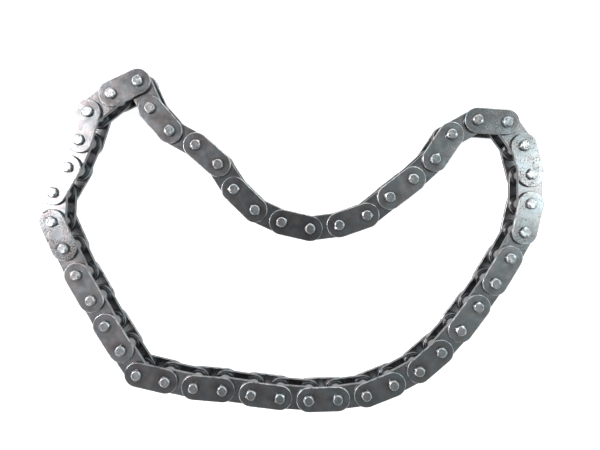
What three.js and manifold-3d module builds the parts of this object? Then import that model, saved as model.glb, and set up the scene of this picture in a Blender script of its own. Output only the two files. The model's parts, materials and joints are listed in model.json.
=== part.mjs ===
// Single-strand riveted roller chain of 3/8 in pitch (06B-1), closed into a loop of 48 links.
// The loop lies on its side: every pin stands upright, and the lower pin ends rest on z = 0.
// Millimetres. +X runs along the loop, +Y across it, +Z along the pins.
import * as THREE from "three";
import { mergeVertices } from "three/addons/utils/BufferGeometryUtils.js";
import Module from "manifold-3d";

const wasm = await Module();
wasm.setup();

// Chain size
const PITCH = 9.525;
const OUTER_HEIGHT = 8.2; // of an outer plate, across the chain's line
const INNER_HEIGHT = 7.9;
const INNER_WIDTH = 5.72; // clear width between the inner plates
const INNER_PLATE = 1.3; // thickness
const OUTER_PLATE = 1.04;
const PLATE_GAP = 0.17; // between an inner plate and the outer plate beside it
const PIN_LENGTH = 13.1;
const PIN_RADIUS = 1.64;
const PIN_CHAMFER = 0.3;
const BUSH_BORE_RADIUS = 1.665;
const BUSH_RADIUS = 2.35;
const ROLLER_BORE_RADIUS = 2.4;
const ROLLER_RADIUS = 3.175;
const ROLLER_LENGTH = 5.6;
const PRESS_GAP = 0.01; // all round a pin or bush that is a separate solid in its plate

// Number of flat sides or steps that stand for each curve
const PIN_SIDES = 10;
const ROLLER_SIDES = 12;
const FREE_ROLLER_SIDES = 16;
const PLATE_END_STEPS = 8;
const SIMPLIFY_DISTANCE = 1e-3;

// Heights above the chain's middle plane
const INNER_FACE = INNER_WIDTH / 2;
const INNER_BACK = INNER_FACE + INNER_PLATE;
const OUTER_FACE = INNER_BACK + PLATE_GAP;
const PIN_END = PIN_LENGTH / 2;

// The loop as it lies, anticlockwise from its sharp corner at the top left, where outer link 1
// leaves at FIRST_HEADING degrees. Each stretch is [links in it, degrees that each link turns left
// from the link before].
const FIRST_HEADING = 203;
const STRETCHES = [
  [1, 13],
  [1, 36],
  [2, -6], // down the left side
  [2, 27],
  [5, 2],
  [1, 46], // lower left corner
  [1, 0],
  [5, 2], // lower run, nearly straight
  [5, 10], // sweep up to the right
  [4, 3],
  [3, 14], // right end
  [1, 21],
  [1, 54], // upper right corner
  [1, 28],
  [1, 30],
  [1, -16],
  [2, -2],
  [6, -16], // hollow of the upper run
  [2, 14],
  [2, -18],
];

// Outer links that swing as one set, by number. Each set's vectors add up to nothing,
// so the loop stays closed whatever angle a set has turned through.
const SWING_SETS = [
  [2, 5, 10, 14, 21, 22],
  [4, 6, 11, 16, 20, 24],
  [1, 3, 7, 9, 15, 23],
  [8, 12, 13, 17, 18, 19],
];

const BALANCE_PASSES = 12; // enough to settle to the last digit

// Links whose pieces are separate solids; in all other links they are joined
const SPLIT_OUTER = 10;
const SPLIT_INNER = 9;
const FREE_ROLLERS = [8, 9, 10]; // inner links with rollers of their own

const PLATE_STEEL = { color: 0x3a3d42, metalness: 0.9, roughness: 0.4 };
const PIN_STEEL = { color: 0x8d9095, metalness: 0.95, roughness: 0.3 };
const ROLLER_STEEL = { color: 0x55585d, metalness: 0.9, roughness: 0.3 };

function solidOf(geometry) {
  geometry.deleteAttribute("normal");
  geometry.deleteAttribute("uv");
  const merged = mergeVertices(geometry);
  const mesh = new wasm.Mesh({
    numProp: 3,
    vertProperties: merged.getAttribute("position").array,
    triVerts: new Uint32Array(merged.index.array),
  });
  return new wasm.Manifold(mesh);
}

// The solid's mesh, with faces that lie in one plane merged
function geometryOf(solid) {
  const { vertProperties, triVerts } = solid.asOriginal().simplify(SIMPLIFY_DISTANCE).getMesh();
  const geometry = new THREE.BufferGeometry();
  geometry.setAttribute("position", new THREE.BufferAttribute(vertProperties, 3));
  geometry.setIndex(new THREE.BufferAttribute(triVerts, 1));
  return geometry;
}

// A solid of revolution along Z at x, from a profile of [radius, z] points
function turned(profile, sides, x) {
  const points = profile.map(([radius, z]) => new THREE.Vector2(radius, z));
  const geometry = new THREE.LatheGeometry(points, sides);
  geometry.rotateX(Math.PI / 2);
  geometry.translate(x, 0, 0);
  return solidOf(geometry);
}

function cylinder(radius, bottom, top, sides, x) {
  const profile = [
    [0, bottom],
    [radius, bottom],
    [radius, top],
    [0, top],
  ];
  return turned(profile, sides, x);
}

// The radius to a corner of a polygon whose flats lie at the given radius
function cornerRadius(flatRadius, sides) {
  return flatRadius / Math.cos(Math.PI / sides);
}

// A straight-sided plate with round ends, from the pivot at x = 0 to the one at x = PITCH
function plate(height, bottom, thickness) {
  const outline = new THREE.Shape();
  outline.absarc(0, 0, height / 2, Math.PI / 2, 1.5 * Math.PI);
  outline.absarc(PITCH, 0, height / 2, -Math.PI / 2, Math.PI / 2);
  const geometry = new THREE.ExtrudeGeometry(outline, {
    depth: thickness,
    bevelEnabled: false,
    curveSegments: PLATE_END_STEPS / 2, // an arc takes two steps for each of these
  });
  geometry.translate(0, 0, bottom);
  return solidOf(geometry);
}

function innerPlate(side) {
  return plate(INNER_HEIGHT, side > 0 ? INNER_FACE : -INNER_BACK, INNER_PLATE);
}

function outerPlate(side) {
  return plate(OUTER_HEIGHT, side > 0 ? OUTER_FACE : -OUTER_FACE - OUTER_PLATE, OUTER_PLATE);
}

function pin(x) {
  const profile = [
    [0, -PIN_END],
    [PIN_RADIUS - PIN_CHAMFER, -PIN_END],
    [PIN_RADIUS, -PIN_END + PIN_CHAMFER],
    [PIN_RADIUS, PIN_END - PIN_CHAMFER],
    [PIN_RADIUS - PIN_CHAMFER, PIN_END],
    [0, PIN_END],
  ];
  return turned(profile, PIN_SIDES, x);
}

function bore(x) {
  const radius = cornerRadius(BUSH_BORE_RADIUS, PIN_SIDES);
  return cylinder(radius, -PIN_END, PIN_END, PIN_SIDES, x);
}

// A bush before it is bored, as long as the inner link is wide
function bushBlank(x, radius = BUSH_RADIUS) {
  return cylinder(radius, -INNER_BACK, INNER_BACK, ROLLER_SIDES, x);
}

function freeRoller(x) {
  const half = ROLLER_LENGTH / 2;
  const hole = cornerRadius(ROLLER_BORE_RADIUS, FREE_ROLLER_SIDES);
  return cylinder(ROLLER_RADIUS, -half, half, FREE_ROLLER_SIDES, x).subtract(
    cylinder(hole, -half - 1, half + 1, FREE_ROLLER_SIDES, x),
  );
}

// What joins the inner plates at a pivot, a bush alone or with its roller. It ends inside the plates.
function spacer(x, radius) {
  const half = INNER_FACE + INNER_PLATE / 2;
  return cylinder(radius, -half, half, ROLLER_SIDES, x);
}

// Both outer plates with the two pins riveted in them
function outerLink() {
  return outerPlate(1).add(outerPlate(-1)).add(pin(0)).add(pin(PITCH));
}

// Both inner plates with the two bushes pressed in, and the rollers unless they turn freely
function innerLink(withRollers) {
  const radius = withRollers ? ROLLER_RADIUS : BUSH_RADIUS;
  const plates = innerPlate(1).add(innerPlate(-1));
  const solid = plates.add(spacer(0, radius)).add(spacer(PITCH, radius));
  return solid.subtract(bore(0)).subtract(bore(PITCH));
}

function outerLinkPieces(number) {
  const holes = [0, PITCH].map((x) =>
    cylinder(PIN_RADIUS + PRESS_GAP, -PIN_END, PIN_END, PIN_SIDES, x),
  );
  const drilled = (side) => outerPlate(side).subtract(holes[0]).subtract(holes[1]);
  return [
    [`outer_plate_top_${number}`, drilled(1), PLATE_STEEL],
    [`outer_plate_bottom_${number}`, drilled(-1), PLATE_STEEL],
    [`pin_first_${number}`, pin(0), PIN_STEEL],
    [`pin_second_${number}`, pin(PITCH), PIN_STEEL],
  ];
}

function innerLinkPieces(number) {
  const holes = [0, PITCH].map((x) => bushBlank(x, BUSH_RADIUS + PRESS_GAP));
  const drilled = (side) => innerPlate(side).subtract(holes[0]).subtract(holes[1]);
  return [
    [`inner_plate_top_${number}`, drilled(1), PLATE_STEEL],
    [`inner_plate_bottom_${number}`, drilled(-1), PLATE_STEEL],
    [`bush_first_${number}`, bushBlank(0).subtract(bore(0)), ROLLER_STEEL],
    [`bush_second_${number}`, bushBlank(PITCH).subtract(bore(PITCH)), ROLLER_STEEL],
  ];
}

function rollerPieces(number) {
  return [
    [`roller_first_${number}`, freeRoller(0), ROLLER_STEEL],
    [`roller_second_${number}`, freeRoller(PITCH), ROLLER_STEEL],
  ];
}

// Turns each heading by as little as makes the unit vectors along them add up to nothing.
function balance(headings) {
  const balanced = [...headings];
  for (let pass = 0; pass < BALANCE_PASSES; pass++) {
    const cos = balanced.map(Math.cos);
    const sin = balanced.map(Math.sin);
    const sum = (numbers) => numbers.reduce((total, value) => total + value, 0);
    const xx = sum(sin.map((s) => s * s));
    const xy = -sum(sin.map((s, i) => s * cos[i]));
    const yy = sum(cos.map((c) => c * c));
    const determinant = xx * yy - xy * xy;
    const a = (yy * sum(cos) - xy * sum(sin)) / determinant;
    const b = (xx * sum(sin) - xy * sum(cos)) / determinant;
    balanced.forEach((heading, i) => {
      balanced[i] = heading + a * sin[i] - b * cos[i];
    });
  }
  return balanced;
}

// The heading of every link in radians, outer links at even places and inner ones at odd places
function linkHeadings() {
  const headings = [THREE.MathUtils.degToRad(FIRST_HEADING)];
  for (const [links, turn] of STRETCHES) {
    for (let i = 0; i < links; i++) {
      headings.push(headings.at(-1) + THREE.MathUtils.degToRad(turn));
    }
  }
  const outerSets = SWING_SETS.map((set) => set.map((number) => 2 * number - 2));
  const innerSet = headings.map((_, i) => i).filter((i) => i % 2 === 1);
  for (const places of [...outerSets, innerSet]) {
    const balanced = balance(places.map((i) => headings[i]));
    places.forEach((place, i) => {
      headings[place] = balanced[i];
    });
  }
  return headings;
}

// The pivot at the start of every link, with the loop's own box centred on the origin
function pivots(headings) {
  const points = [];
  const at = new THREE.Vector2();
  for (const heading of headings) {
    points.push(at.clone());
    at.x += PITCH * Math.cos(heading);
    at.y += PITCH * Math.sin(heading);
  }
  const centre = new THREE.Box2().setFromPoints(points).getCenter(new THREE.Vector2());
  return points.map((point) => point.sub(centre));
}

function piecesOf(place) {
  const outer = place % 2 === 0;
  const link = Math.floor(place / 2) + 1;
  const number = String(link).padStart(2, "0");
  if (outer && link === SPLIT_OUTER) return outerLinkPieces(number);
  if (outer) return [[`outer_link_${number}`, outerLink(), PLATE_STEEL]];
  if (link === SPLIT_INNER) return [...innerLinkPieces(number), ...rollerPieces(number)];
  if (FREE_ROLLERS.includes(link)) {
    return [[`inner_link_${number}`, innerLink(false), PLATE_STEEL], ...rollerPieces(number)];
  }
  return [[`inner_link_${number}`, innerLink(true), PLATE_STEEL]];
}

const chain = new THREE.Group();
const headings = linkHeadings();
const starts = pivots(headings);
headings.forEach((heading, place) => {
  for (const [name, solid, steel] of piecesOf(place)) {
    const mesh = new THREE.Mesh(geometryOf(solid), new THREE.MeshStandardMaterial(steel));
    mesh.name = name;
    mesh.position.set(starts[place].x, starts[place].y, PIN_END);
    mesh.rotation.z = heading;
    chain.add(mesh);
  }
});

export default chain;
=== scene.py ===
"""A loop of single-strand riveted roller chain, seen from straight above on a pale floor.

Every plate, pin, bush and roller is a piece of its own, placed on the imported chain's pivots. Metres, +Z up.
"""
import json
import math
import random
from collections import namedtuple

import bmesh
import bpy
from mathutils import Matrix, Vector


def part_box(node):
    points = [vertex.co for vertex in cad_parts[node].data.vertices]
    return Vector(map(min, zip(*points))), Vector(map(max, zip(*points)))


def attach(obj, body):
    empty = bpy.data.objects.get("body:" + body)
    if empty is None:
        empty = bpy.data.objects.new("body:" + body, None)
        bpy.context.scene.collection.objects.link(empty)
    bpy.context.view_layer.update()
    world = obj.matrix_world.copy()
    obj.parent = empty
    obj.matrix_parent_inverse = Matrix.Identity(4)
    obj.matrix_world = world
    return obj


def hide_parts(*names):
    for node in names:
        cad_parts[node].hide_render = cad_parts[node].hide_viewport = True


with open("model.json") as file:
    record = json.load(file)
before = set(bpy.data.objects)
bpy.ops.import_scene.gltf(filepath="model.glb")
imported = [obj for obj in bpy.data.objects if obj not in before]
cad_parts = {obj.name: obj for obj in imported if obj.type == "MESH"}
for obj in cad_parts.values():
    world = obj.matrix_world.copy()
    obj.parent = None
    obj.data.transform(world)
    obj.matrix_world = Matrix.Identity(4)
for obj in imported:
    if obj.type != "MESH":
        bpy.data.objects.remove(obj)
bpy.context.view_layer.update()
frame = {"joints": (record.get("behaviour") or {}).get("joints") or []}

MM = 0.001
random.seed(48)

# The chain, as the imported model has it
LINKS = 24  # of each kind
SPLIT_OUTER = 10  # the outer link whose four pieces are CAD nodes of their own
SPLIT_INNER = 9  # the inner link whose six pieces are CAD nodes of their own
FREE_ROLLERS = (8, 9, 10)  # inner links whose rollers are bodies of their own
OPEN_PIVOT = 43  # the one pivot that no joint holds
PITCH = 9.525 * MM
OUTER_RADIUS = 4.1 * MM  # of an outer plate's round ends
INNER_RADIUS = 3.95 * MM
PIN_RADIUS = 1.64 * MM
BUSH_RADIUS = 2.35 * MM
BUSH_BORE = 1.665 * MM
ROLLER_RADIUS = 3.175 * MM
ROLLER_BORE = 2.4 * MM

# Fine shape that the CAD model leaves out
PLATE_EDGE = 0.23 * MM  # rounding of a plate's sheared edge
HOLE_EDGE = 0.06 * MM
ROLLER_EDGE = 0.35 * MM
BUSH_EDGE = 0.12 * MM
PIN_CHAMFER = 0.3 * MM  # width of the bright ring round a pin's end
PIN_CHAMFER_DEPTH = 0.24 * MM
PIN_FOOT = 0.25 * MM  # how far above its plate a pin starts to bulge
PIN_HOLLOW = 0.05 * MM  # how far a pin's end face sinks towards its middle
PIN_BANDS = 5  # bands of faces on each end of a pin that are bright from the punch
STAKE_DENT = 0.12 * MM  # how deep the staking punch went in
STAKE_HALF_ANGLE = math.radians(24)

# Where the punch has pushed a pin's end out into corners, as (angle in degrees, how far out in mm)
STAKES = (
    ((0, 0.34), (180, 0.22)),
    ((0, 0.3), (150, 0.18), (255, 0.1)),
    ((0, 0.26), (95, 0.14), (185, 0.24), (270, 0.1)),
)

# Fineness of the curves
END_STEPS = 28  # round the half circle at a plate's end
HOLE_STEPS = 36
TURN_STEPS = 48  # round a pin, bush or roller
EDGE_STEPS = 3  # across a rounded edge
SHARP_PIN_EDGE = math.radians(34)
SHARP_TUBE_EDGE = math.radians(40)

# Steel, as shades of grey that the oil film tints. Distances on a plate are in millimetres.
DIRT = (0.028, 0.024, 0.021)
COOL_FILM = (0.93, 1.0, 1.04)
WARM_FILM = (1.045, 0.99, 0.985)
WORN_RIM = (0.6, 0.2)  # the worn band's inner side and its brightest line, in from the plate's edge
OIL_REACH = (2.0, 4.4)  # from a pivot, where its oil stain starts to fade and where it ends
FOOT_SHADOW_REACH = (1.7, 2.2)  # the same for the painted shadow round the foot of a pin
PIECE_OFFSET = 90.0  # how far apart in the noise two pieces can lie
GRAIN_DEPTH = 0.008 * MM
SPECK_HEIGHT = 0.45  # of a speck of dirt, as a share of the grain's depth

# Outer links that differ from the rest: how much caked dirt some have, and for others a painted-light factor
# by which their plates are drawn darker or lighter, painted shading and highlight for how light falls on each
# link
DIRTY_LINKS = {4: 1.35, 15: 0.75, 16: 0.85, 23: 0.3}
PAINTED_LIGHT_LINKS = {7: 0.7, 8: 0.8, 10: 1.2, 13: 1.2, 18: 1.25, 19: 1.25, 20: 1.15, 21: 0.88}

# The camera stands above the hollow of the upper run and looks down, leaning a little towards -Y
FRAME_WIDTH = 600
FOCAL_PIXELS = 513
CAMERA_PLACE = (2.8 * MM, 11.0 * MM, 178.3 * MM)
CAMERA_LEAN = math.radians(1.85)
SENSOR_WIDTH = 36.0
NEAREST_SEEN = 0.01

# The floor is lit from below too, so the chain's shadow hardly shows
FLOOR_REACH = 3.0
FLOOR_COLOUR = (0.6, 0.6, 0.595, 1.0)
FLOOR_GLOW = 0.85

# Brightness of the room: straight overhead, how fast it grows to the left and right, and of the walls
OVERHEAD_LIGHT = 0.15
SIDE_GAIN = 0.84
WALL_LIGHT = 0.85
WALL_LEAN = (0.0, 0.75)  # how much brighter the walls are towards +X and +Y
CEILING_EDGE = (0.88, 0.6)  # height on the unit sphere where the ceiling ends, and where the walls begin
ROOM_COLOURS = ((1.0, 0.97, 0.985), (0.9, 0.99, 0.99))  # to the left and to the right
COLOUR_REACH = 0.35  # how far out on the unit sphere the colour still changes

# Soft lights lie level in the ceiling, each as ((x, y) of its middle, (width, depth), radiance, colour)
CEILING_HEIGHT = 1.0
SOFT_LIGHTS = {
    "soft_light_left": ((-0.85, 0.185), (0.535, 0.29), 26.0, (1.0, 0.95, 0.945)),
    "soft_light_right": ((0.765, 0.083), (0.535, 0.16), 6.2, (0.91, 1.0, 0.99)),
    "soft_light_far": ((0.75, 1.0), (0.6, 0.4), 7.0, (0.95, 1.0, 1.0)),
    "soft_light_near": ((-0.95, -0.8), (0.5, 0.4), 7.0, (1.0, 0.99, 0.97)),
}


def heights(node):
    """The lowest and highest Z of a CAD node."""
    low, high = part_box(node)
    return low.z, high.z


PIN_LOW, PIN_HIGH = heights(f"pin_first_{SPLIT_OUTER:02d}")
BUSH_LOW, BUSH_HIGH = heights(f"bush_first_{SPLIT_INNER:02d}")
ROLLER_LOW, ROLLER_HIGH = heights(f"roller_first_{SPLIT_INNER:02d}")
OUTER_PLATES = {side: heights(f"outer_plate_{side}_{SPLIT_OUTER:02d}") for side in ("top", "bottom")}
INNER_PLATES = {side: heights(f"inner_plate_{side}_{SPLIT_INNER:02d}") for side in ("top", "bottom")}
MIDDLE = (PIN_LOW + PIN_HIGH) / 2


# Shapes ---------------------------------------------------------------------------------------------


def circle(radius, steps, x=0.0):
    """Points round a circle about (x, 0)."""
    turns = [2 * math.pi * i / steps for i in range(steps)]
    return [(x + radius * math.cos(t), radius * math.sin(t)) for t in turns]


def obround(radius):
    """Points round a plate's outline, whose two ends are half circles about its pivots."""
    points = []
    for side in (1, -1):
        for i in range(END_STEPS + 1):
            turn = -math.pi / 2 + math.pi * i / END_STEPS
            x = side * (PITCH / 2 + radius * math.cos(turn))
            points.append((x, side * radius * math.sin(turn)))
    return points


def rounded(edge):
    """(how far in, how far below the top) at each step across a rounded edge, from the wall to the top."""
    turns = [math.pi / 2 * i / EDGE_STEPS for i in range(EDGE_STEPS + 1)]
    return [(edge * (1 - math.cos(t)), edge * (1 - math.sin(t))) for t in turns]


def edge_profile(half, edge):
    """(how far in, height) from the bottom face of a wall with rounded edges to its top face."""
    top = [(inset, half - drop) for inset, drop in rounded(edge)]
    return [(inset, -height) for inset, height in reversed(top)] + top


def add_ring(mesh, points, height):
    return [mesh.verts.new((x, y, height)) for x, y in points]


def ring_edges(mesh, ring):
    return [mesh.edges.get((a, b)) for a, b in zip(ring, ring[1:] + ring[:1])]


def add_wall(mesh, rings, inwards=False):
    """Smooth quads between successive rings, as one band of faces for each pair of rings."""
    bands = []
    for lower, upper in zip(rings, rings[1:]):
        band = []
        for i in range(len(lower)):
            j = (i + 1) % len(lower)
            corners = [lower[i], lower[j], upper[j], upper[i]]
            face = mesh.faces.new(corners[::-1] if inwards else corners)
            face.smooth = True
            band.append(face)
        bands.append(band)
    return bands


def give_material(bands, index):
    for band in bands:
        for face in band:
            face.material_index = index


def finished(mesh, name, sharp_angle=None):
    """The bmesh as mesh data, with edges sharper than an angle shaded sharp."""
    data = bpy.data.meshes.new(name)
    mesh.to_mesh(data)
    mesh.free()
    if sharp_angle:
        data.set_sharp_from_angle(angle=sharp_angle)
    return data


def plate_mesh(name, radius, thickness, hole_radius):
    """A plate with round ends and two holes.

    Its rounded edges take the second material and its sheared walls the third.
    """
    mesh = bmesh.new()
    half = thickness / 2
    profile = edge_profile(half, PLATE_EDGE)
    outline = [add_ring(mesh, obround(radius - inset), z) for inset, z in profile]
    walls = [outline]
    for x in (-PITCH / 2, PITCH / 2):
        profile = edge_profile(half, HOLE_EDGE)
        walls.append([add_ring(mesh, circle(hole_radius + inset, HOLE_STEPS, x), z) for inset, z in profile])
    for wall in walls:
        bands = add_wall(mesh, wall, inwards=wall is not outline)
        give_material(bands, 1)
        give_material([bands[EDGE_STEPS]], 2)
    for end in (0, -1):
        edges = [edge for wall in walls for edge in ring_edges(mesh, wall[end])]
        bmesh.ops.triangle_fill(mesh, use_beauty=True, edges=edges)
    bmesh.ops.recalc_face_normals(mesh, faces=mesh.faces)
    return finished(mesh, name)


def stake_weight(turn, degrees):
    """How much a stake at some angle moves a point at a turn round the pin, from 0 to 1."""
    off = abs(math.remainder(turn - math.radians(degrees), 2 * math.pi))
    return max(0.0, 1 - off / STAKE_HALF_ANGLE)


def pin_profile():
    """Rings from a pin's lower end face to its upper one.

    Each is (radius, height, bulge, dent), with the shares of a stake's bulge and dent that move it.
    """
    half = (PIN_HIGH - PIN_LOW) / 2
    plate_top = OUTER_PLATES["top"][1] - MIDDLE
    face_radius = PIN_RADIUS - PIN_CHAMFER
    end = [
        (PIN_RADIUS, plate_top, 0.0, 0.0),
        (PIN_RADIUS, plate_top + PIN_FOOT, 0.3, 0.0),
        (PIN_RADIUS, half - PIN_CHAMFER_DEPTH * 1.6, 1.0, 0.0),
        (PIN_RADIUS - PIN_CHAMFER * 0.12, half - PIN_CHAMFER_DEPTH, 1.0, 0.6),
        (PIN_RADIUS - PIN_CHAMFER * 0.6, half - PIN_CHAMFER_DEPTH * 0.38, 0.3, 1.0),
        (face_radius, half - PIN_CHAMFER_DEPTH * 0.08, 0.0, 0.4),
        (face_radius * 0.93, half - PIN_HOLLOW * 0.4, 0.0, 0.0),
        (face_radius * 0.5, half - PIN_HOLLOW, 0.0, 0.0),
    ]
    return [(radius, -height, bulge, dent) for radius, height, bulge, dent in reversed(end)] + end


def pin_mesh(name, stakes):
    """A pin whose chamfered ends are staked outwards where they stand out of its plate."""
    mesh = bmesh.new()
    rings = []
    for radius, height, bulge, dent in pin_profile():
        ring = []
        for i in range(TURN_STEPS):
            turn = 2 * math.pi * i / TURN_STEPS
            weights = [(stake_weight(turn, degrees), out) for degrees, out in stakes]
            r = radius + bulge * sum(weight * out * MM for weight, out in weights)
            z = height - math.copysign(dent * STAKE_DENT, height) * max(weight for weight, _ in weights)
            ring.append(mesh.verts.new((r * math.cos(turn), r * math.sin(turn), z)))
        rings.append(ring)
    bands = add_wall(mesh, rings)
    mesh.faces.new(rings[0][::-1])
    mesh.faces.new(rings[-1])
    give_material(bands[1 : 1 + PIN_BANDS] + bands[-1 - PIN_BANDS : -1], 1)
    return finished(mesh, name, SHARP_PIN_EDGE)


def tube_mesh(name, radius, bore, length, edge):
    """A bush or a roller: a tube with rounded edges, whose outer edges take the second material."""
    mesh = bmesh.new()
    half = length / 2
    outside = [(radius - inset, height) for inset, height in edge_profile(half, edge)]
    inner_edge = min(edge, BUSH_EDGE)
    inside = [(bore + inset, height) for inset, height in edge_profile(half, inner_edge)]
    profile = outside + inside[::-1]
    rings = [add_ring(mesh, circle(r, TURN_STEPS), z) for r, z in profile]
    bands = add_wall(mesh, rings + rings[:1])
    give_material(bands[:EDGE_STEPS] + bands[EDGE_STEPS + 1 : 2 * EDGE_STEPS + 1], 1)
    bmesh.ops.recalc_face_normals(mesh, faces=mesh.faces)
    return finished(mesh, name, SHARP_TUBE_EDGE)


# Materials ------------------------------------------------------------------------------------------


def new_material(name):
    material = bpy.data.materials.new(name)
    material.use_nodes = True
    return material


class Nodes:
    """Adds shader nodes to a material or a world one after another."""

    def __init__(self, owner):
        self.owner = owner
        self.tree = owner.node_tree

    def set(self, socket, value):
        """Links a socket to another node's output, or gives it a value."""
        if isinstance(value, bpy.types.NodeSocket):
            self.tree.links.new(value, socket)
        else:
            socket.default_value = value

    def add(self, kind, inputs=None, **settings):
        node = self.tree.nodes.new(kind)
        for key, value in settings.items():
            setattr(node, key, value)
        for key, value in (inputs or {}).items():
            self.set(node.inputs[key], value)
        return node

    def local(self):
        """Where a point is in its piece, in millimetres from the middle, with X along the link."""
        place = self.add("ShaderNodeTexCoord").outputs["Object"]
        scaled = self.add("ShaderNodeVectorMath", {0: place, "Scale": 1 / MM}, operation="SCALE")
        return scaled.outputs["Vector"]

    def own(self, name):
        """A number that each piece carries."""
        node = self.add("ShaderNodeAttribute", attribute_name=name, attribute_type="OBJECT")
        return node.outputs["Fac"]

    def math(self, operation, first, second=0.0):
        return self.add("ShaderNodeMath", {0: first, 1: second}, operation=operation).outputs["Value"]

    def product(self, *factors):
        value = factors[0]
        for factor in factors[1:]:
            value = self.math("MULTIPLY", value, factor)
        return value

    def place(self):
        """The local place moved along by an amount that differs from piece to piece."""
        seed = self.own("seed")
        offset = self.add("ShaderNodeCombineXYZ", {"X": self.product(seed, PIECE_OFFSET), "Y": seed})
        inputs = {0: self.local(), 1: offset.outputs["Vector"]}
        return self.add("ShaderNodeVectorMath", inputs, operation="ADD").outputs["Vector"]

    def from_pivots(self, beyond):
        """Distance in the plate's plane from the nearer pivot, or from the line between the pivots."""
        axes = self.add("ShaderNodeSeparateXYZ", {"Vector": self.local()}).outputs
        along = self.math("SUBTRACT", self.math("ABSOLUTE", axes["X"]), PITCH / 2 / MM)
        if beyond:
            along = self.math("MAXIMUM", along, 0.0)
        squares = self.math("ADD", self.math("POWER", along, 2.0), self.math("POWER", axes["Y"], 2.0))
        return self.math("SQRT", squares)

    def noise(self, place, scale, detail=4.0, roughness=0.55):
        """Noise of so many cells to a millimetre."""
        inputs = {"Vector": place, "Scale": scale, "Detail": detail, "Roughness": roughness}
        return self.add("ShaderNodeTexNoise", inputs).outputs["Fac"]

    def ramp(self, value, stops):
        """A colour ramp through (position, colour) stops."""
        node = self.add("ShaderNodeValToRGB", {"Fac": value})
        ramp = node.color_ramp
        while len(ramp.elements) < len(stops):
            ramp.elements.new(0.5)
        for element, (position, colour) in zip(ramp.elements, stops):
            element.position = position
            element.color = (*colour, 1.0)
        return node.outputs["Color"]

    def span(self, value, low, high, to_low, to_high):
        """A value between low and high carried over to between two others, and held there outside."""
        inputs = {"Value": value, "From Min": low, "From Max": high, "To Min": to_low, "To Max": to_high}
        return self.add("ShaderNodeMapRange", inputs).outputs["Result"]

    def mix(self, factor, first, second, blend="MIX"):
        """Two colours mixed, each a socket or three numbers."""
        node = self.add("ShaderNodeMix", data_type="RGBA", blend_type=blend)
        self.set(node.inputs[0], factor)
        for socket, colour in ((node.inputs[6], first), (node.inputs[7], second)):
            self.set(socket, (*colour, 1.0) if isinstance(colour, tuple) else colour)
        return node.outputs[2]

    def scaled(self, colour, factor):
        inputs = {0: colour, "Scale": factor}
        return self.add("ShaderNodeVectorMath", inputs, operation="SCALE").outputs["Vector"]

    def bump(self, height, distance):
        return self.add("ShaderNodeBump", {"Height": height, "Distance": distance}).outputs["Normal"]

    def finish(self, **values):
        shader = self.tree.nodes["Principled BSDF"]
        for key, value in values.items():
            self.set(shader.inputs[key.replace("_", " ").title()], value)
        return self.owner


def times(colour, factor):
    return tuple(factor * c for c in colour)


def worn_and_shadowed_plate(nodes, colour, dark, light, plate_radius, mottle, smear):
    """A plate's rim worn bright, its ends darkened by oil round the pins, and a painted shadow round the foot
    of each pin.
    """
    rim = plate_radius / MM
    beyond = nodes.from_pivots(beyond=True)
    wear = nodes.span(beyond, rim - WORN_RIM[0], rim - WORN_RIM[1], 0.0, 1.0)
    wear = nodes.product(wear, nodes.span(mottle, 0.4, 0.65, 0.0, 0.45))
    colour = nodes.mix(wear, colour, times(light, 1.5))
    from_pin = nodes.from_pivots(beyond=False)
    oil = nodes.span(from_pin, *OIL_REACH, 0.55, 0.0)
    oil = nodes.product(oil, nodes.span(smear, 0.38, 0.62, 0.1, 1.0))
    colour = nodes.mix(oil, colour, times(dark, 0.4))
    # Painted shadow: a dark ring round the foot of each pin, where the pin stands out of the plate
    foot = nodes.span(from_pin, *FOOT_SHADOW_REACH, 0.8, 0.0)
    foot = nodes.product(foot, nodes.span(mottle, 0.3, 0.7, 0.5, 1.0))
    return nodes.mix(foot, colour, times(dark, 0.25))


def dirt_specks(nodes, place, smear):
    """Where a piece has specks of dirt: a few anywhere, and many where its own amount of dirt is high."""
    grit = nodes.noise(place, 2.6, detail=3.0, roughness=0.6)
    dirt = nodes.product(nodes.own("dirt"), nodes.span(smear, 0.4, 0.6, 0.08, 0.16))
    above = nodes.math("SUBTRACT", grit, nodes.math("SUBTRACT", 0.7, dirt))
    return nodes.span(above, 0.0, 0.05, 0.0, 0.9)


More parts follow.
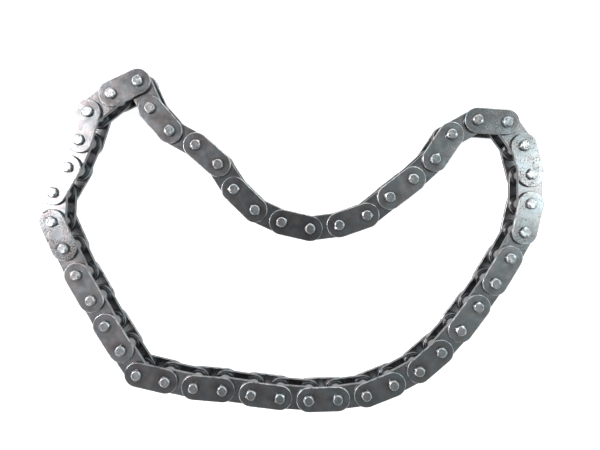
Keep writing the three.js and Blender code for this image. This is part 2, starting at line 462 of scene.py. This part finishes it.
def worn_steel(name, dark, light, roughness, scale=0.35, plate_radius=None):
    """Oiled steel, mottled, with fine grain and specks, its tone a little different on each piece and drawn
    darker or lighter by the painted-light factor that some pieces carry.

    Its clouds have so many cells to a millimetre. A plate, which has a radius, also shows its wear, its oil
    stains and a painted shadow round the foot of each pin.
    """
    nodes = Nodes(new_material(name))
    place = nodes.place()
    cloud = nodes.noise(place, scale, detail=5.0)
    mottle = nodes.noise(place, 2.4, detail=5.0, roughness=0.65)
    smear = nodes.noise(place, 0.22)
    grain = nodes.noise(place, 9.0, detail=6.0, roughness=0.6)
    blend = nodes.math("ADD", nodes.product(cloud, 0.7), nodes.product(mottle, 0.3))
    colour = nodes.ramp(blend, [(0.36, dark), (0.66, light)])
    if plate_radius:
        colour = worn_and_shadowed_plate(nodes, colour, dark, light, plate_radius, mottle, smear)
    film = nodes.mix(nodes.span(smear, 0.4, 0.6, 0.0, 1.0), COOL_FILM, WARM_FILM)
    colour = nodes.mix(1.0, colour, film, blend="MULTIPLY")
    specks = dirt_specks(nodes, place, smear)
    colour = nodes.mix(specks, colour, DIRT)
    gloss = nodes.span(cloud, 0.3, 0.7, roughness * 0.85, roughness * 1.2)
    relief = nodes.math("ADD", grain, nodes.product(specks, SPECK_HEIGHT))
    # Painted light: the piece's painted-light factor, which draws some links' plates darker or lighter for
    # how light falls on them, times a tone that differs at random from piece to piece
    shade = nodes.product(nodes.own("shade"), nodes.span(nodes.own("seed"), 0.0, 1.0, 0.9, 1.1))
    return nodes.finish(
        base_color=nodes.scaled(colour, shade),
        metallic=nodes.span(specks, 0.0, 0.85, 1.0, 0.2),
        roughness=nodes.math("ADD", gloss, nodes.product(specks, 0.5)),
        normal=nodes.bump(relief, GRAIN_DEPTH),
    )


OUTER_STEEL = worn_steel(
    "outer_plate_steel", (0.283, 0.285, 0.289), (0.374, 0.377, 0.382), 0.19, plate_radius=OUTER_RADIUS
)
INNER_STEEL = worn_steel(
    "inner_plate_steel", (0.243, 0.245, 0.249), (0.334, 0.337, 0.342), 0.2, plate_radius=INNER_RADIUS
)
WORN_EDGE = worn_steel("worn_edge", (0.14, 0.143, 0.146), (0.68, 0.69, 0.695), 0.3, scale=0.5)
# The inner plates' rounded edges, drawn much darker than the outer plates' worn edges: a painted shadow for
# plates that the outer plates partly cover and hide from the light
SHADOWED_INNER_EDGE = worn_steel("shadowed_inner_edge", (0.13, 0.133, 0.136), (0.33, 0.335, 0.34), 0.32, scale=0.5)
PLATE_RIM = worn_steel("plate_rim", (0.09, 0.093, 0.095), (0.17, 0.173, 0.175), 0.34)
PIN_FACE = worn_steel("pin_end", (0.42, 0.43, 0.435), (0.54, 0.55, 0.555), 0.23, scale=0.9)
PIN_RING = worn_steel("pin_ring", (0.34, 0.345, 0.35), (0.66, 0.67, 0.675), 0.28, scale=0.9)
ROLLER_STEEL = worn_steel("roller_steel", (0.11, 0.114, 0.117), (0.2, 0.205, 0.209), 0.2)
ROLLER_RIM = worn_steel("roller_rim", (0.38, 0.385, 0.39), (0.6, 0.61, 0.615), 0.2)


# Pieces ---------------------------------------------------------------------------------------------

# What all pieces of one kind share: the start of their names, the start of the names of their CAD
# nodes, their mesh and their slot in the record
Kind = namedtuple("Kind", "name node mesh slot")


def with_materials(mesh, *materials):
    for material in materials:
        mesh.materials.append(material)
    return mesh


def plate_kind(which, radius, plates, hole_radius, *materials):
    low, high = plates["top"]
    mesh = plate_mesh(f"{which}_plate", radius, high - low, hole_radius)
    return Kind(f"plate_{which}", f"{which}_plate", with_materials(mesh, *materials), "plate_steel")


def pin_kind(number, stakes):
    mesh = with_materials(pin_mesh(f"pin_{number}", stakes), PIN_FACE, PIN_RING)
    return Kind("pin_riveted", "pin", mesh, "pin_steel")


def tube_kind(name, node, *sizes):
    mesh = with_materials(tube_mesh(node, *sizes), ROLLER_STEEL, ROLLER_RIM)
    return Kind(name, node, mesh, "roller_steel")


OUTER_PLATE = plate_kind(
    "outer", OUTER_RADIUS, OUTER_PLATES, PIN_RADIUS, OUTER_STEEL, WORN_EDGE, PLATE_RIM
)
INNER_PLATE = plate_kind(
    "inner", INNER_RADIUS, INNER_PLATES, BUSH_RADIUS, INNER_STEEL, SHADOWED_INNER_EDGE, PLATE_RIM
)
PINS = [pin_kind(number, stakes) for number, stakes in enumerate(STAKES)]
BUSH = tube_kind("bush_pressed", "bush", BUSH_RADIUS, BUSH_BORE, BUSH_HIGH - BUSH_LOW, BUSH_EDGE)
ROLLER = tube_kind(
    "roller_turning", "roller", ROLLER_RADIUS, ROLLER_BORE, ROLLER_HIGH - ROLLER_LOW, ROLLER_EDGE
)


def pivot_points():
    """Every pivot's place seen from above, by number, the open one by symmetry in its outer link."""
    points = {}
    for joint in frame["joints"]:
        if joint["name"].startswith("pivot_"):
            points[int(joint["name"][-2:])] = Vector(joint["pos_m"][:2])
    low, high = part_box(f"outer_link_{OPEN_PIVOT // 2 + 1:02d}")
    middle = ((low + high) / 2).xy
    points[OPEN_PIVOT] = 2 * middle - points[OPEN_PIVOT + 1]
    return points


def add_piece(kind, tag, place, turn, body, own_node, dirt=0.0, shade=1.0):
    """One piece in its place, riding on its body. It stands for its own CAD node, or for its body's."""
    piece = bpy.data.objects.new(f"{kind.name}_{tag}", kind.mesh)
    bpy.context.scene.collection.objects.link(piece)
    piece.location = place
    piece.rotation_euler.z = turn
    piece["seed"] = random.random()
    piece["dirt"] = dirt
    # painted light: how much darker or lighter this piece is drawn for how light falls on it
    piece["shade"] = shade
    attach(piece, body)
    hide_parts(f"{kind.node}_{tag}" if own_node else body)


def add_plates(kind, plates, number, first, second, body, own_nodes, **look):
    """A link's upper and lower plate, between the pivots at first and second, with one look."""
    along = second - first
    middle = (first + second) / 2
    for side, (low, high) in plates.items():
        place = (middle.x, middle.y, (low + high) / 2)
        heading = math.atan2(along.y, along.x)
        add_piece(kind, f"{side}_{number:02d}", place, heading, body, own_nodes, **look)


def any_turn():
    return random.uniform(-math.pi, math.pi)


def build_outer_link(number, first, second):
    """Two plates and two pins, between the pivots at first and second."""
    body = f"outer_link_{number:02d}"
    split = number == SPLIT_OUTER
    dirt = DIRTY_LINKS.get(number, 0.0)
    # Painted light: this link's plates drawn darker or lighter for how light falls on them
    shade = PAINTED_LIGHT_LINKS.get(number, 1.0)
    add_plates(OUTER_PLATE, OUTER_PLATES, number, first, second, body, split, dirt=dirt, shade=shade)
    for which, pivot in (("first", first), ("second", second)):
        turn = any_turn()
        pin = random.choice(PINS)
        place = (pivot.x, pivot.y, MIDDLE)
        add_piece(pin, f"{which}_{number:02d}", place, turn, body, split, dirt)


def build_inner_link(number, first, second):
    """Two plates, two bushes and two rollers, between the pivots at first and second."""
    body = f"inner_link_{number:02d}"
    split = number == SPLIT_INNER
    add_plates(INNER_PLATE, INNER_PLATES, number, first, second, body, split)
    for which, pivot in (("first", first), ("second", second)):
        tag = f"{which}_{number:02d}"
        turn = any_turn()
        place = (pivot.x, pivot.y, MIDDLE)
        add_piece(BUSH, tag, place, turn, body, split)
        free = number in FREE_ROLLERS
        add_piece(ROLLER, tag, place, turn, f"roller_{tag}" if free else body, free)


def build_chain():
    pivots = pivot_points()
    for number in range(1, LINKS + 1):
        start, middle = pivots[2 * number - 1], pivots[2 * number]
        end = pivots[2 * number % (2 * LINKS) + 1]
        build_outer_link(number, start, middle)
        build_inner_link(number, middle, end)


# Floor, light and camera ----------------------------------------------------------------------------


def build_floor():
    corners = [(x * FLOOR_REACH, y * FLOOR_REACH, 0.0) for x, y in ((-1, -1), (1, -1), (1, 1), (-1, 1))]
    mesh = bpy.data.meshes.new("floor")
    mesh.from_pydata(corners, [], [(0, 1, 2, 3)])
    floor = bpy.data.objects.new("floor", mesh)
    bpy.context.scene.collection.objects.link(floor)
    glow = {"emission_color": (1.0, 1.0, 1.0, 1.0), "emission_strength": FLOOR_GLOW}
    paint = Nodes(new_material("floor")).finish(base_color=FLOOR_COLOUR, roughness=0.9, **glow)
    with_materials(mesh, paint)


def add_soft_light(name, middle, size, radiance, colour):
    """A rectangular soft light in the ceiling, facing down."""
    data = bpy.data.lights.new(name, "AREA")
    data.shape = "RECTANGLE"
    data.size, data.size_y = size
    data.energy = math.pi * size[0] * size[1] * radiance
    data.color = colour
    light = bpy.data.objects.new(name, data)
    light.location = (*middle, CEILING_HEIGHT)
    bpy.context.scene.collection.objects.link(light)


def build_world():
    """A pale room that is dark straight overhead, where the photographer stands, and lighter to the sides."""
    world = bpy.data.worlds.new("studio")
    bpy.context.scene.world = world
    world.use_nodes = True
    nodes = Nodes(world)
    direction = nodes.add("ShaderNodeTexCoord").outputs["Generated"]
    axes = nodes.add("ShaderNodeSeparateXYZ", {"Vector": direction}).outputs
    wall = nodes.span(axes["Z"], *CEILING_EDGE, 0.0, 1.0)
    sideways = nodes.product(nodes.math("ABSOLUTE", axes["X"]), SIDE_GAIN)
    ceiling = nodes.math("ADD", sideways, OVERHEAD_LIGHT)
    ceiling = nodes.product(ceiling, nodes.math("SUBTRACT", 1.0, wall))
    lean = nodes.math("ADD", nodes.product(axes["X"], WALL_LEAN[0]), nodes.product(axes["Y"], WALL_LEAN[1]))
    walls = nodes.product(wall, WALL_LIGHT, nodes.math("ADD", 1.0, lean))
    background = world.node_tree.nodes["Background"]
    across = nodes.span(axes["X"], -COLOUR_REACH, COLOUR_REACH, 0.0, 1.0)
    nodes.set(background.inputs["Color"], nodes.mix(across, *ROOM_COLOURS))
    nodes.set(background.inputs["Strength"], nodes.math("ADD", ceiling, walls))


def build_light():
    build_world()
    for name, settings in SOFT_LIGHTS.items():
        add_soft_light(name, *settings)


def build_camera():
    data = bpy.data.cameras.new("camera")
    data.sensor_width = SENSOR_WIDTH
    data.lens = SENSOR_WIDTH * FOCAL_PIXELS / FRAME_WIDTH
    data.clip_start = NEAREST_SEEN
    camera = bpy.data.objects.new("camera", data)
    camera.location = CAMERA_PLACE
    camera.rotation_euler.x = -CAMERA_LEAN
    bpy.context.scene.collection.objects.link(camera)
    bpy.context.scene.camera = camera


build_camera()
build_floor()
build_light()
build_chain()
bpy.context.scene.view_settings.view_transform = "Standard"
